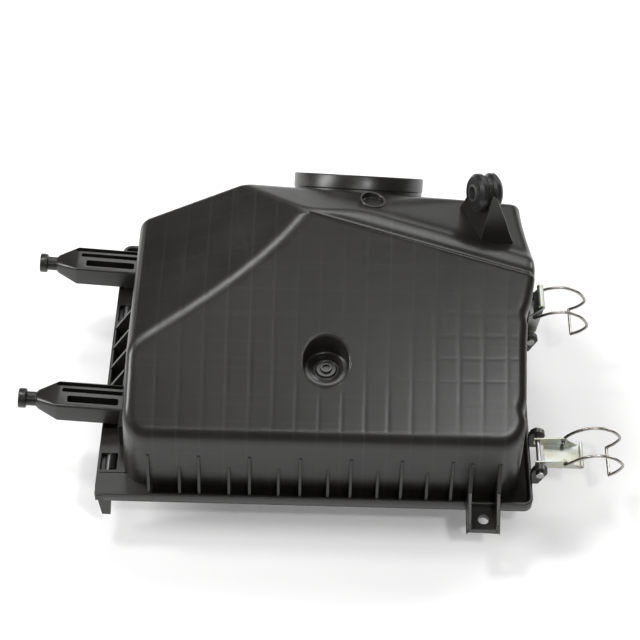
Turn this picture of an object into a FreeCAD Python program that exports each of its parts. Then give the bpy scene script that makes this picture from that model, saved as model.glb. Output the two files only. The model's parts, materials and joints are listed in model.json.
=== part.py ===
"""Air filter housing: a deep moulded case on a shallow cover, with a panel filter and two wire latches.

Frame: millimetres, +Z up, +X towards the latches, +Y towards the outlet collar.
The origin is on the cover's flat underside, below the middle of the flange.
"""
import FreeCAD, Part
import math
import os
import re

import Sketcher
from FreeCAD import Placement, Rotation, Vector

doc = FreeCAD.newDocument("air_filter_housing")

# ---------------------------------------------------------------- driving dimensions
DIMENSIONS = {
    "flange_base": (34.0, "underside of the case flange above the floor"),
    "rim_top": (42.0, "top of the flange's raised rim"),
    "rim_left": (-141.0, "left outer face of the rim"),
    "rim_right": (139.0, "right outer face of the rim"),
    "rim_half_depth": (107.0, "front and rear outer faces of the rim"),
    "rim_wall": (2.5, "thickness of the rim"),
    "flange_plate": (2.5, "thickness of the flange plate"),
    "wall": (2.5, "moulded wall thickness"),
    "wall_left": (-124.0, "left wall at the flange"),
    "wall_right": (130.8, "right wall at the flange"),
    "wall_front": (-99.0, "front wall at the flange"),
    "wall_rear": (97.0, "rear wall at the flange"),
    "edge_round": (8.0, "radius of the dome's edges"),
    "corner_round": (10.0, "extra radius of the upright corners"),
    "front_edge_y": (-96.0, "front edge of the sloped top, across"),
    "front_edge_z": (92.0, "front edge of the sloped top, height"),
    "top_slope": (30.0, "slope of the main top face, degrees"),
    "apex_x": (-12.0, "the point where the top faces meet"),
    "apex_y": (30.0, "the point where the top faces meet"),
    "pocket_x": (4.6, "round pocket centre"),
    "pocket_y": (-53.5, "round pocket centre"),
    "pocket_radius": (14.2, "round pocket"),
    "pocket_floor": (107.5, "floor of the round pocket"),
    "collar_radius": (43.7, "outlet collar, outside"),
    "collar_bore": (40.7, "outlet collar, inside"),
    "collar_length": (62.0, "outlet collar, rim to root"),
    "collar_lip": (9.0, "raised end of the outlet collar that the hose grips"),
    "ledge_height": (62.0, "ledge on the left wall"),
    "ledge_left": (-128.0, "outer face of the left ledge"),
    "rib": (2.0, "thickness of fins and gussets"),
    "peg_length": (42.0, "straight part of a locating peg"),
    "peg_width": (21.0, "locating peg across"),
    "peg_depth": (16.0, "locating peg height"),
    "peg_neck": (4.7, "locating peg neck radius"),
    "peg_head": (6.5, "locating peg head radius"),
    "tab_left": (96.5, "bolt tab, left side"),
    "tab_right": (114.5, "bolt tab, right side"),
    "tab_front": (-124.0, "bolt tab, front end"),
    "tab_thickness": (4.0, "bolt tab plate"),
    "tab_hole": (3.5, "bolt tab hole radius"),
    "ring_radius": (8.5, "small ring boss on the rear top face"),
    "bushing_radius": (12.2, "rubber bushing flange radius"),
    "bushing_length": (16.0, "rubber bushing length"),
    "bushing_waist": (8.5, "rubber bushing waist radius"),
    "sleeve_radius": (5.5, "steel sleeve, outside"),
    "sleeve_bore": (4.25, "steel sleeve, inside"),
    "bracket_web": (2.5, "thickness of the bracket's front web"),
    "bracket_plate": (3.0, "bracket plate that the bushing grips"),
    "hinge_x": (-134.0, "hinge axis"),
    "hinge_z": (38.5, "hinge axis"),
    "hinge_pin": (2.2, "hinge pin radius"),
    "hinge_gap": (0.3, "gap between hook and hinge pin"),
    "hook_radius": (4.8, "outer radius of a hinge hook"),
    "cover_floor": (2.5, "thickness of the cover's floor"),
    "cover_flange_top": (34.0, "top of the cover's flange"),
    "cover_flange": (3.0, "thickness of the cover's flange"),
    "seat_floor": (27.0, "seat of the filter's rim"),
    "filter_left": (-122.5, "filter rim, left"),
    "filter_right": (127.5, "filter rim, right"),
    "filter_half_depth": (95.5, "filter rim, front and rear"),
    "filter_rim": (9.5, "width of the filter's rim"),
    "filter_rim_top": (33.8, "top of the filter's rim"),
    "media_top": (60.0, "top of the pleats"),
    "media_sheet": (0.9, "thickness of the pleated paper"),
    "latch_x": (143.5, "latch pin axis"),
    "latch_z": (48.0, "latch pin axis"),
    "latch_pin": (1.5, "latch pin radius"),
    "latch_width": (19.0, "lever, across"),
    "lever_length": (28.0, "lever, pin to tip"),
    "lever_sheet": (1.0, "lever sheet thickness"),
    "bail_pivot": (16.5, "lever pin to bail pivot"),
    "wire_radius": (1.1, "bail wire radius"),
    "wire_gap": (0.06, "radial gap of the bail and the pin in their holes"),
    "bail_spread": (11.0, "middle of the latch to the middle of a bail arm"),
    "inlet_left": (-70.0, "inlet duct, left"),
    "inlet_right": (10.0, "inlet duct, right"),
    "inlet_rear": (122.0, "inlet duct, mouth"),
    "inlet_low": (3.0, "inlet duct, underside"),
    "inlet_high": (27.0, "inlet duct, top"),
    "seal": (2.5, "thickness of the inlet seal"),
    "drain_radius": (6.0, "drain hole in the cover's floor"),
}
FRONT_LATCH_Y = -70.0
REAR_LATCH_Y = 40.0
REAR_LEVER_TURN = -83.0
REAR_LOOP_DROP = 12.5
PEG_PLACES = (-45.0, 73.0)
PEG_TILT = 4.5
HINGE_SLOTS = ((-88.0, -75.0), (36.0, 51.0))
DRAIN = (60.0, 10.0)

sheet = doc.addObject("Spreadsheet::Sheet", "Dims")
for row, (alias, (value, note)) in enumerate(DIMENSIONS.items(), start=1):
    sheet.set(f"A{row}", note)
    sheet.set(f"B{row}", str(value))
    sheet.setAlias(f"B{row}", alias)
doc.recompute()


def size(alias):
    """The value of a driving dimension."""
    return float(sheet.get(alias))


def bound(text):
    """A formula in the sheet's aliases, ready for setExpression."""
    return re.sub(r"[a-z][a-z_]+",
                  lambda m: "Dims." + m.group(0) if m.group(0) in DIMENSIONS else m.group(0), text)


# ---------------------------------------------------------------- building blocks
def block(name, x, y, z):
    """A box between two formulas along each axis."""
    solid = doc.addObject("Part::Box", name)
    for side, axis, (low, high) in zip(("Length", "Width", "Height"), "xyz", (x, y, z)):
        solid.setExpression(side, bound(f"({high}) - ({low})"))
        solid.setExpression(f"Placement.Base.{axis}", bound(low))
    return solid


def rod(name, radius, length, start, axis):
    """A cylinder of formula radius and length from a point along an axis."""
    solid = doc.addObject("Part::Cylinder", name)
    solid.setExpression("Radius", bound(radius))
    solid.setExpression("Height", bound(length))
    solid.Placement = Placement(Vector(*start), Rotation(Vector(0, 0, 1), Vector(*axis)))
    return solid


def outline(name, points, place):
    """A closed sketch of straight lines whose corners are bound to formulas."""
    sketch = doc.addObject("Sketcher::SketchObject", name)
    sketch.Placement = place
    corners = [Vector(n + 1.0, (n * 7) % 5 + 1.0, 0) for n in range(len(points))]
    for n, corner in enumerate(corners):
        sketch.addGeometry(Part.LineSegment(corner, corners[(n + 1) % len(corners)]), False)
    for n in range(len(points)):
        sketch.addConstraint(Sketcher.Constraint("Coincident", n, 2, (n + 1) % len(points), 1))
    for n, point in enumerate(points):
        for kind, formula in zip(("DistanceX", "DistanceY"), point):
            index = sketch.addConstraint(Sketcher.Constraint(kind, -1, 1, n, 1, 1.0))
            sketch.setExpression(f"Constraints[{index}]", bound(str(formula)))
    return sketch


def plate(name, points, place, thickness):
    """An outline extruded along its own normal."""
    solid = doc.addObject("Part::Extrusion", name)
    solid.Base = outline(name + "_outline", points, place)
    solid.DirMode = "Normal"
    solid.Solid = True
    solid.setExpression("LengthFwd", bound(thickness))
    return solid


def across(x):
    """A sketch place on the YZ plane at x: sketch X is +Y, sketch Y is +Z, normal +X."""
    return Placement(Vector(x, 0, 0), Rotation(Vector(0, 1, 0), Vector(0, 0, 1), Vector(1, 0, 0)))


def along(y):
    """A sketch place on the XZ plane at y: sketch X is +X, sketch Y is +Z, normal -Y."""
    return Placement(Vector(0, y, 0), Rotation(Vector(1, 0, 0), Vector(0, 0, 1), Vector(0, -1, 0)))


def joined(name, pieces):
    """One solid from touching pieces."""
    solid = doc.addObject("Part::MultiFuse", name)
    solid.Shapes = pieces
    solid.Refine = True
    return solid


def cut(name, base, tool):
    """base less tool."""
    solid = doc.addObject("Part::Cut", name)
    solid.Base = base
    solid.Tool = tool
    solid.Refine = True
    return solid


def rounded(name, base, radius, chosen):
    """base with the edges that chosen() accepts rounded."""
    doc.recompute()
    edges = [n for n, edge in enumerate(base.Shape.Edges, start=1) if chosen(edge)]
    solid = doc.addObject("Part::Fillet", name)
    solid.Base = base
    solid.Edges = [(n, radius, radius) for n in edges]
    return solid


def upright(edge):
    """True for a straight edge that stands nearly vertical."""
    if edge.Curve.TypeId != "Part::GeomLine":
        return False
    run = edge.Vertexes[1].Point - edge.Vertexes[0].Point
    return abs(run.z) > 0.9 * run.Length


def turned(name, points, place):
    """A body of revolution: (along, radius) corners turned about the body's own X axis."""
    body = doc.addObject("PartDesign::Body", name)
    flat = next(o for o in body.Origin.OriginFeatures if o.Role == "XY_Plane")
    turn = next(o for o in body.Origin.OriginFeatures if o.Role == "X_Axis")
    sketch = body.newObject("Sketcher::SketchObject", name + "_section")
    sketch.AttachmentSupport = [(flat, "")]
    sketch.MapMode = "FlatFace"
    corners = [Vector(n + 1.0, (n * 7) % 5 + 1.0, 0) for n in range(len(points))]
    for n, corner in enumerate(corners):
        sketch.addGeometry(Part.LineSegment(corner, corners[(n + 1) % len(corners)]), False)
    for n in range(len(points)):
        sketch.addConstraint(Sketcher.Constraint("Coincident", n, 2, (n + 1) % len(points), 1))
    for n, point in enumerate(points):
        for kind, formula in zip(("DistanceX", "DistanceY"), point):
            index = sketch.addConstraint(Sketcher.Constraint(kind, -1, 1, n, 1, 1.0))
            sketch.setExpression(f"Constraints[{index}]", bound(str(formula)))
    spin = body.newObject("PartDesign::Revolution", name + "_turn")
    spin.Profile = sketch
    spin.ReferenceAxis = (turn, [""])
    spin.Angle = 360.0
    body.Placement = place
    return body


# ---------------------------------------------------------------- the dome
SLOPE = math.radians(size("top_slope"))
APEX_Z = size("front_edge_z") + math.tan(SLOPE) * (size("apex_y") - size("front_edge_y"))
APEX = (size("apex_x"), size("apex_y"), APEX_Z)
LEFT_DRAFT = math.radians(2.2)
RIGHT_DRAFT = math.radians(0.3)
FRONT_DRAFT = math.radians(2.0)
REAR_DRAFT = math.radians(1.5)
REAR_FACE_NORMAL = (0.176, 0.19, 1.0)
COLLAR_AXIS = Vector(0.03, 0.711, 0.702).normalize()
RIDGE_END = (126.5, -0.6, APEX_Z - 0.176 * 138.5 + 0.19 * 30.6)

# each flat face of the dome: a point on it and its outward normal
DOME_FACES = (
    ((size("wall_left"), 0, size("flange_base")), (-math.cos(LEFT_DRAFT), 0, math.sin(LEFT_DRAFT))),
    ((size("wall_right"), 0, size("flange_base")), (math.cos(RIGHT_DRAFT), 0, math.sin(RIGHT_DRAFT))),
    ((0, size("wall_front"), size("flange_base")), (0, -math.cos(FRONT_DRAFT), math.sin(FRONT_DRAFT))),
    ((0, size("wall_rear"), size("flange_base")), (0, math.cos(REAR_DRAFT), math.sin(REAR_DRAFT))),
    ((0, size("front_edge_y"), size("front_edge_z")), (0, -math.sin(SLOPE), math.cos(SLOPE))),
    (APEX, (-0.425, 0, 1)),
    (APEX, REAR_FACE_NORMAL),
    (APEX, (0.051, 0.52, 1)),
    ((24, 69, 141.7), (0.048, 0.766, 0.643)),
    ((-51, 69, 147), (-0.371, 0.766, 0.643)),
)
# the right wall swells to a shoulder where the ridge runs out
SHOULDER = (137.6, 8.0, 147.0)
SHOULDER_FACES = (
    (SHOULDER, (0.983, -0.140, -0.102)),
    (SHOULDER, (0.988, 0.120, -0.102)),
    ((90, 0, 0), (-1, 0, 0)),
    ((0, -62, 0), (0, -1, 0)),
    ((0, 78, 0), (0, 1, 0)),
    ((0, 0, 45), (0, 0, -1)),
    DOME_FACES[4],
    DOME_FACES[6],
)
FAR = 600.0


def beyond_face(name, point, normal, inset):
    """A large block that covers everything outside a flat face moved in by inset."""
    outward = Vector(*normal).normalize()
    spin = Rotation(Vector(0, 0, 1), outward)
    beyond = doc.addObject("Part::Box", name)
    beyond.Length = beyond.Width = beyond.Height = FAR
    corner = Vector(*point) - outward * inset + spin.multVec(Vector(-FAR / 2, -FAR / 2, 0))
    beyond.Placement = Placement(corner, spin)
    return beyond


def faced(name, faces, inset):
    """The form inside a set of flat faces that are all moved in by inset."""
    form = doc.addObject("Part::Box", name + "_blank")
    form.Length = form.Width = form.Height = FAR
    form.Placement.Base = Vector(-FAR / 2, -FAR / 2, 0)
    for n, (point, normal) in enumerate(faces):
        form = cut(f"{name}_face_{n}", form, beyond_face(f"{name}_beyond_{n}", point, normal, inset))
    return form


def dome(name, inset, swell, shoulder_inset, shoulder_round):
    """The dome's flat-sided form grown by swell with round edges, and its shoulder."""
    form = rounded(name + "_corners", faced(name, DOME_FACES, inset), size("corner_round"),
                   upright_from_floor)
    grown = doc.addObject("Part::Offset", name + "_grown")
    grown.Source = form
    grown.Join = 0
    grown.Value = swell
    shoulder = faced(name + "_shoulder", SHOULDER_FACES, shoulder_inset)
    if shoulder_round:
        shoulder = rounded(name + "_shoulder_round", shoulder, shoulder_round, at_the_shoulder)
    return joined(name + "_form", [grown, shoulder])


def at_the_shoulder(edge):
    """An edge that runs out to the shoulder's crest."""
    return edge.BoundBox.XMax > SHOULDER[0] - 6.0 and edge.BoundBox.ZMax > 100.0


def upright_from_floor(edge):
    """An upright edge that starts at the floor."""
    return upright(edge) and edge.BoundBox.ZMin < 1.0


def ridge_bead():
    """The raised bead behind the crease between the main top face and the rear top face."""
    start = Vector(*APEX)
    run = Vector(*RIDGE_END) - start
    ahead = Vector(run).normalize()
    back = Vector(0, 0, 1).cross(ahead).normalize()
    lift = ahead.cross(back)
    sections = []
    for distance, scale in ((3.0, 0.25), (30.0, 0.85), (60.0, 1.0), (run.Length + 14.0, 1.0)):
        def spot(u, v):
            return start + ahead * distance + back * (u * scale) + lift * (v * scale)

        rise = Part.LineSegment(spot(0.0, -3.0), spot(0.3, -0.4)).toShape()
        crest = Part.Arc(spot(0.3, -0.4), spot(3.6, 3.2), spot(8.5, 3.4)).toShape()
        fall = Part.Arc(spot(8.5, 3.4), spot(14.0, 0.4), spot(21.0, -3.6)).toShape()
        under = Part.LineSegment(spot(21.0, -3.6), spot(21.0, -12.0)).toShape()
        close = Part.LineSegment(spot(21.0, -12.0), spot(0.0, -3.0)).toShape()
        sections.append(Part.Wire([rise, crest, fall, under, close]))
    bead = doc.addObject("Part::Feature", "ridge_bead_loft")
    bead.Shape = Part.makeLoft(sections, True, True)
    ends = [beyond_face(f"ridge_bead_end_{n}", *SHOULDER_FACES[n], 1.2) for n in (0, 1)]
    return cut("ridge_bead", bead, joined("ridge_bead_ends", ends))


def peg(number, y):
    """A flat locating peg with a round neck and head, pointing left and slightly up."""
    tilt = math.radians(PEG_TILT)
    outward = Vector(-math.cos(tilt), 0, math.sin(tilt))
    spin = Rotation(outward, Vector(0, -1, 0), Vector(0, 0, 1), "XYZ")
    root = Vector(-123.0, y, 53.6)
    place = Placement(root, spin)

    def at(solid, x, dy, z):
        solid.Placement = place.multiply(Placement(Vector(x, dy, z), Rotation()))
        return solid

    body = doc.addObject("Part::Box", f"peg_{number}_body")
    body.setExpression("Length", bound("peg_length + 5"))
    body.setExpression("Width", bound("peg_width"))
    body.setExpression("Height", bound("peg_depth"))
    at(body, -1, -size("peg_width") / 2, -size("peg_depth") / 2)
    straight = size("peg_length") + 4
    taper = doc.addObject("Part::Wedge", f"peg_{number}_taper")
    half_w, half_d, neck = size("peg_width") / 2, size("peg_depth") / 2, size("peg_neck")
    taper.Xmin, taper.Xmax, taper.Zmin, taper.Zmax = -half_w, half_w, -half_d, half_d
    taper.Ymin, taper.Ymax = 0.0, 14.5
    taper.X2min, taper.X2max, taper.Z2min, taper.Z2max = -neck, neck, -neck, neck
    turn = Rotation(Vector(0, 1, 0), Vector(1, 0, 0), Vector(0, 0, 1), "YXZ")
    taper.Placement = place.multiply(Placement(Vector(straight, 0, 0), turn))
    neck_rod = doc.addObject("Part::Cylinder", f"peg_{number}_neck")
    neck_rod.setExpression("Radius", bound("peg_neck"))
    neck_rod.Height = 16.0
    ahead = Rotation(Vector(0, 0, 1), Vector(1, 0, 0))
    neck_rod.Placement = place.multiply(Placement(Vector(straight + 9, 0, 0), ahead))
    head = doc.addObject("Part::Cylinder", f"peg_{number}_head")
    head.setExpression("Radius", bound("peg_head"))
    head.Height = 5.0
    head.Placement = place.multiply(Placement(Vector(straight + 21, 0, 0), ahead))
    grooves = []
    openings = ((3, 48, -9.2, -6.6), (3, 44, -4.6, -1.6), (7, 40, 1.4, 6.6))
    for n, (start, end, low, high) in enumerate(openings):
        groove = doc.addObject("Part::Box", f"peg_{number}_groove_{n}")
        groove.Length, groove.Width, groove.Height = end - start, high - low, 12.0
        at(groove, start, low, half_d - 10.0)
        grooves.append(groove)
    return [body, taper, neck_rod, head], grooves


def upper_case():
    outer = dome("outer", size("edge_round"), size("edge_round"), 0.0, 4.0)
    inner = dome("inner", size("edge_round"), size("edge_round") - size("wall"), size("wall") + 1.6, 0.0)

    added = [outer, ridge_bead()]
    removed = []

    # flange plate and its raised rim
    tray = block("tray", ("rim_left", "rim_right"), ("-rim_half_depth", "rim_half_depth"),
                 ("flange_base", "rim_top"))
    tray = rounded("tray_round", tray, 6.0, upright)
    well = block("well", ("rim_left + rim_wall", "rim_right - rim_wall"),
                 ("-rim_half_depth + rim_wall", "rim_half_depth - rim_wall"),
                 ("flange_base + flange_plate", "rim_top + 1"))
    well = rounded("well_round", well, 3.5, upright)
    added.append(cut("flange", tray, well))

    # flat corners and hinge blocks that fill the rim flush with its top
    added.append(block("corner_front_left", ("rim_left + 0.5", "-105"), ("-rim_half_depth + 0.5", "-82"),
                       ("flange_base", "rim_top")))
    added.append(block("hinge_block_front", ("rim_left + 0.5", "-122"), ("-90", "-55"),
                       ("flange_base", "rim_top")))
    added.append(block("hinge_block_rear", ("rim_left + 0.5", "-122"), ("30", "66"),
                       ("flange_base", "rim_top")))
    added.append(block("corner_front_right", ("120", "133"), ("-rim_half_depth + 0.5", "-86"),
                       ("flange_base", "rim_top")))

    # ledge and gussets on the left wall
    added.append(block("ledge", ("ledge_left", "-121"), ("-68", "86"), ("flange_base", "ledge_height")))
    for n, y in enumerate((-22.0, -4.5, 12.5, 30.0)):
        added.append(plate(f"gusset_{n}", (("-126", "ledge_height"), ("ledge_left", "ledge_height"),
                                           ("rim_left + 1", "rim_top"), ("rim_left + 1", "flange_base + 1"),
                                           ("-126", "flange_base + 1")), along(y + 1.0), "rib"))

    # fins between the front wall and the rim, tall and short by turns
    tall = [-106.0 + 32.0 * n for n in range(7)]
    short = [-86.5 + 31.4 * n for n in range(6)]
    for n, x in enumerate(sorted(tall + short)):
        top = "rim_top + 31" if x in tall else "rim_top + 20"
        added.append(plate(f"fin_{n}", (("-91", top), ("wall_front + 1.0", top),
                                        ("-rim_half_depth + 1.5", "rim_top"),
                                        ("-rim_half_depth + 1.5", "flange_base + 1"),
                                        ("-91", "flange_base + 1")), across(x - 1.0), "rib"))

    # bolt tab: a plate ahead of the rim between two tall side ribs
    added.append(block("tab_plate", ("tab_left", "tab_right + 2.5"), ("tab_front", "-rim_half_depth + 2"),
                       ("flange_base", "flange_base + tab_thickness")))
    for n, x in enumerate(("tab_left", "tab_right")):
        added.append(plate(f"tab_rib_{n}", (("-92", "rim_top + 30"), ("wall_front + 0.5", "rim_top + 30"),
                                            ("-rim_half_depth", "rim_top + 12"),
                                            ("tab_front", "flange_base + 8"), ("tab_front", "flange_base"),
                                            ("-92", "flange_base")), across(size(x)), "rim_wall"))
    removed.append(rod("tab_bolt_hole", "tab_hole", "12", (107.0, -116.0, 30.0), (0, 0, 1)))
    removed.append(block("tab_window", ("tab_left + rim_wall", "tab_right"), ("-120", "-93"),
                         ("flange_base + tab_thickness", "rim_top + 27")))

    # wall set back behind the fins, over the rim's gutter
    removed.append(block("gutter", ("-104", "tab_left - 2"), ("-rim_half_depth + rim_wall", "-93"),
                         ("flange_base + flange_plate", "rim_top + 5")))
    backing = [block("gutter_backing", ("-107", "121"), ("-110", "-90"), ("flange_base - 2", "rim_top + 8")),
               block("window_backing", ("tab_left - 1", "tab_right + 4"), ("-110", "-90"),
                     ("flange_base - 2", "rim_top + 30"))]

    # foot at the front left corner
    added.append(plate("foot", (("rim_left + 1.5", "rim_top"), ("rim_left + 3.5", "flange_base - 15"),
                                ("rim_left + 9", "flange_base - 15"), ("rim_left + 11", "rim_top")),
                       along(-size("rim_half_depth") + 2.5), "2.5"))

    # round pocket in the main top face with a plugged port at its floor
    removed.append(rod("pocket", "pocket_radius", "60",
                       (size("pocket_x"), size("pocket_y"), size("pocket_floor")),
                       (0, 0, 1)))
    removed.append(rod("port", "4.5", "20", (size("pocket_x"), size("pocket_y"), size("pocket_floor") - 10),
                       (0, 0, 1)))
    backing.append(rod("pocket_backing", "pocket_radius + wall", "60",
                       (size("pocket_x"), size("pocket_y"), size("pocket_floor") - size("wall")), (0, 0, 1)))

    # small ring boss on the rear top face
    lean = Vector(*REAR_FACE_NORMAL).normalize()
    ring_foot = Vector(32.0, 51.1, 154.0) - lean * 9.0
    ring = cut("ring_boss", rod("ring_outer", "ring_radius", "9", ring_foot, lean),
               rod("ring_inner", "ring_radius - 1.6", "10", ring_foot + lean * 4.0, lean))
    added.append(ring)

    # outlet collar, tilted up and back from the rear
    rim_centre = Vector(24.0, 106.7, 118.9)
    root = rim_centre - COLLAR_AXIS * size("collar_length")
    added.append(rod("collar_tube", "collar_radius - 0.5", "collar_length", root, COLLAR_AXIS))
    lip_start = rim_centre - COLLAR_AXIS * size("collar_lip")
    added.append(rod("collar_lip_rod", "collar_radius", "collar_lip", lip_start, COLLAR_AXIS))
    removed.append(rod("collar_bore_tool", "collar_bore", "collar_length + 20", root - COLLAR_AXIS * 10.0,
                       COLLAR_AXIS))

    # locating pegs
    for number, y in enumerate(PEG_PLACES):
        solids, grooves = peg(number, y)
        added += solids
        removed += grooves

    # latch ears on the right of the rim
    for n, middle in enumerate((FRONT_LATCH_Y, REAR_LATCH_Y)):
        for side, offset in (("near", -16.3), ("far", 12.8)):
            y = middle + offset
            ear = rod(f"ear_{n}_{side}", "5", "3.5", (size("latch_x"), y, size("latch_z")), (0, 1, 0))
            web = block(f"ear_web_{n}_{side}", ("rim_right - 5", "latch_x"), (str(y), str(y + 3.5)),
                        ("flange_base + 2", "latch_z + 2"))
            added += [ear, web]
        removed.append(rod(f"ear_hole_{n}", "latch_pin", "40",
                           (size("latch_x"), middle - 20, size("latch_z")), (0, 1, 0)))

    # slots for the cover's hinge hooks
    for n, (low, high) in enumerate(HINGE_SLOTS):
        removed.append(block(f"hinge_slot_{n}", ("hinge_x - 5.2", "hinge_x + 5.6"), (str(low), str(high)),
                             ("flange_base - 1", "rim_top + 1")))
        removed.append(rod(f"hinge_pin_hole_{n}", "hinge_pin", "20",
                           (size("hinge_x"), (low + high) / 2 - 10, size("hinge_z")), (0, 1, 0)))

    # the opening over the filter
    removed.append(block("opening", ("-117.2", "121"), ("-89.5", "89.5"), ("0", "flange_base + 6")))
    removed.append(block("below", ("-200", "200"), ("-200", "200"), ("-50", "flange_base")))
    keep_foot = removed.pop()

    body = joined("case_solid", [cut("dome_above_flange", added[0], keep_foot)] + added[1:])
    hollow = cut("hollow", inner, joined("backing", backing))
    low = block("hollow_floor", ("-200", "200"), ("-200", "200"), ("-50", "flange_base + flange_plate"))
    hollow_above = cut("hollow_above_flange", hollow, low)
    shell = cut("case_shell", body, hollow_above)
    whole = cut("case_with_tab", shell, joined("case_cuts", removed))
    tab_region = block("tab_region", ("tab_left - 10", "tab_right + 10"),
                       ("tab_front - 5", "-rim_half_depth"),
                       ("0", "rim_top + 40"))
    case = cut("upper_case", whole, tab_region)
    tab = shared("bolt_tab", whole, tab_region)
    seat = joined("bracket_seat", [outer, added[1]])
    return case, tab, cut("bushing_bracket", bracket(), seat)


def bracket_frame():
    """The bushing's centre, its axis, and the direction up the bracket."""
    lean = Vector(*REAR_FACE_NORMAL).normalize()
    axis = Vector(-0.925, -0.309, 0.222)
    axis = (axis - lean * axis.dot(lean)).normalize()
    return Vector(102.5, 44.2, 169.8), axis, lean


def bracket():
    """An upright plate that the bushing grips, stiffened by a tall web along its front edge."""
    centre, axis, lean = bracket_frame()
    side = lean.cross(axis)
    plate_face = centre - axis * (size("bracket_plate") / 2)
    holder = plate("bracket_holder", ((-10.6, 2), (-21, -27), (-21, -34), (13.5, -34), (13.5, -4), (10.6, 2)),
                   Placement(plate_face, Rotation(side, lean, axis, "XYZ")), "bracket_plate")
    eye = rod("bracket_eye", "bushing_waist + 2.4", "bracket_plate", plate_face, axis)
    web_run = (side * 0.218 - axis * 0.976).normalize()
    web_start = centre + side * 12.9 - lean * 27.0 + axis * (size("bracket_plate") / 2)
    web = plate("bracket_web", ((0, -7), (22, -7), (22, 0), (17.5, 7.6), (13.3, 15.7), (8.7, 23.2),
                                (4.4, 30.0),
                                (2.2, 33.0), (0, 34.0)),
                Placement(web_start, Rotation(web_run, lean, web_run.cross(lean), "XYZ")), "bracket_web")
    hole = rod("bracket_hole", "bushing_waist", "40", centre - axis * 20.0, axis)
    return cut("bracket", joined("bracket_whole", [holder, eye, web]), hole)


# ---------------------------------------------------------------- the cover
def tapered_box(name, low, high):
    """A loft between two level rectangles, each (x0, x1, y0, y1, z)."""
    profiles = []
    for part, (x0, x1, y0, y1, z) in (("low", low), ("high", high)):
        place = Placement(Vector(0, 0, z), Rotation())
        profiles.append(outline(f"{name}_{part}", ((x0, y0), (x1, y0), (x1, y1), (x0, y1)), place))
    solid = doc.addObject("Part::Loft", name)
    solid.Sections = profiles
    solid.Solid = True
    solid.Ruled = True
    return solid


def lower_cover():
    flange = block("cover_flange_blank", ("-131", "rim_right - 3"),
                   ("-rim_half_depth + 3", "rim_half_depth - 3"),
                   ("cover_flange_top - cover_flange", "cover_flange_top"))
    flange = rounded("cover_flange_solid", flange, 6.0, upright)
    seat = block("cover_seat", ("filter_left - 2.8", "filter_right + 2.8"),
                 ("-filter_half_depth - 2.8", "filter_half_depth + 2.8"),
                 ("seat_floor - wall", "cover_flange_top"))
    seat = rounded("cover_seat_round", seat, 6.0, upright)
    pan = tapered_box("cover_pan", (-92, 97, -64, 84, 0), (-115.5, 120.5, -90, 88.5, 26))
    pan = rounded("cover_pan_round", pan, 8.0, lambda e: e.BoundBox.ZLength > 20)
    duct = block("inlet_duct", ("inlet_left", "inlet_right"), ("70", "inlet_rear"),
                 ("inlet_low", "inlet_high"))
    duct = rounded("inlet_duct_round", duct, 5.0, lambda e: e.BoundBox.YLength > 40)
    added = [flange, seat, pan, duct]
    for n, middle in enumerate((FRONT_LATCH_Y, REAR_LATCH_Y)):
        added.append(block(f"catch_{n}", ("rim_right - 9", "rim_right - 3"),
                           (str(middle - 9.0), str(middle + 9.0)),
                           ("27.5", "cover_flange_top - cover_flange")))
    for n, (low, high) in enumerate(HINGE_SLOTS):
        y = (str(low + 0.6), str(high - 0.6))
        hook = rod(f"hook_{n}", "hook_radius", str(high - low - 1.2),
                   (size("hinge_x"), low + 0.6, size("hinge_z")), (0, 1, 0))
        # the hook keeps its lower and inner part, open towards the top left
        open_side = block(f"hook_open_{n}", ("hinge_x - 9", "hinge_x + 0.5"), y,
                          ("hinge_z + 0.2", "hinge_z + 9"))
        arm = block(f"hook_arm_{n}", ("hinge_x + 1.5", "-127"), y, ("31.2", "cover_flange_top"))
        stem = block(f"hook_stem_{n}", ("hinge_x + 1.5", "hinge_x + 5.2"), y, ("31.2", "hinge_z - 1.6"))
        added += [cut(f"hook_ring_{n}", hook, open_side), arm, stem]
    ribs = [block(f"cover_rib_{n}", (str(x), str(x + 2.0)), ("-95", "-60"), ("6", "26")) for n, x in
            enumerate((-70.0, -30.0, 10.0, 50.0, 84.0))]
    ribs_trim = tapered_box("cover_rib_limit", (-94, 99, -66, 86, 0), (-119, 124, -93.5, 91, 26))
    added += [shared("cover_ribs", joined("cover_ribs_all", ribs), ribs_trim)]
    removed = [
        tapered_box("cover_hollow", (-89.5, 94.5, -61.5, 81.5, 2.5), (-114, 119, -88, 86, 29)),
        block("filter_seat", ("filter_left - 0.3", "filter_right + 0.3"),
              ("-filter_half_depth - 0.3", "filter_half_depth + 0.3"),
              ("seat_floor", "cover_flange_top + 1")),
        block("inlet_path", ("inlet_left + wall", "inlet_right - wall"), ("60", "inlet_rear + 1"),
              ("inlet_low + wall", "inlet_high - wall")),
        rod("drain_hole", "drain_radius", "10", (*DRAIN, -2.0), (0, 0, 1)),
    ]
    for n, (low, high) in enumerate(HINGE_SLOTS):
        removed.append(rod(f"hook_bore_{n}", "hinge_pin + hinge_gap", "30",
                           (size("hinge_x"), (low + high) / 2 - 15, size("hinge_z")), (0, 1, 0)))
    return cut("lower_cover", joined("cover_solid", added), joined("cover_cuts", removed))


def inlet_seal():
    """A rubber band round the mouth of the inlet duct."""
    band = ("inlet_rear - 10", "inlet_rear - 3")
    outer = block("inlet_seal_outer", ("inlet_left - seal", "inlet_right + seal"), band,
                  ("inlet_low - seal", "inlet_high + seal"))
    outer = rounded("inlet_seal_round", outer, 7.5, lambda e: e.BoundBox.YLength > 5)
    inner = block("inlet_seal_inner", ("inlet_left", "inlet_right"), ("inlet_rear - 20", "inlet_rear + 5"),
                  ("inlet_low", "inlet_high"))
    inner = rounded("inlet_seal_inner_round", inner, 5.0, lambda e: e.BoundBox.YLength > 5)
    return cut("inlet_seal", outer, inner)


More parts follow.
